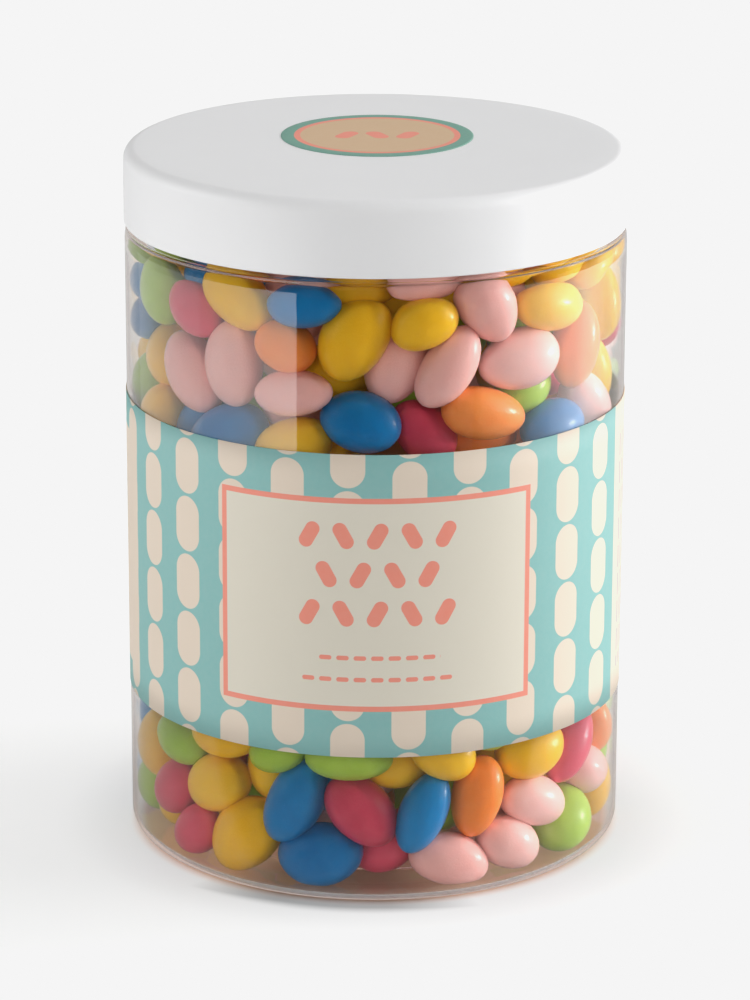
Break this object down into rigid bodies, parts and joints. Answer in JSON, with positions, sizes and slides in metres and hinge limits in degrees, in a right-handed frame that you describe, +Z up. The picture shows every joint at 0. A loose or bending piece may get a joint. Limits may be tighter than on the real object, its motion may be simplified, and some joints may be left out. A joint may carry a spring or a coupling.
{
  "type": "jar of jelly beans",
  "caption": "Clear straight-sided plastic jar filled with coloured jelly beans, with a white screw lid, a patterned paper sleeve and a round lid sticker.",
  "frame": {"origin": "centre of the jar's base, on the plane that the base ring stands on", "axes": "+Z up along the jar's axis, -Y towards the middle of the label's front panel, +X to the right as the panel is read"},
  "size_m": [0.0928, 0.0928, 0.1308],
  "materials": {
    "clear_plastic": "clear, glossy",
    "white_plastic": "satin, smooth",
    "label_paper": "printed, matt coated",
    "sticker_paper": "printed, matt coated",
    "bean_shell": "polished sugar shell, satin, in six colours"
  },
  "bodies": {
    "root": {"jar": "clear_plastic", "lid": "white_plastic", "label": "label_paper", "lid_sticker": "sticker_paper", "jelly_beans": "bean_shell"}
  },
  "joints": []
}
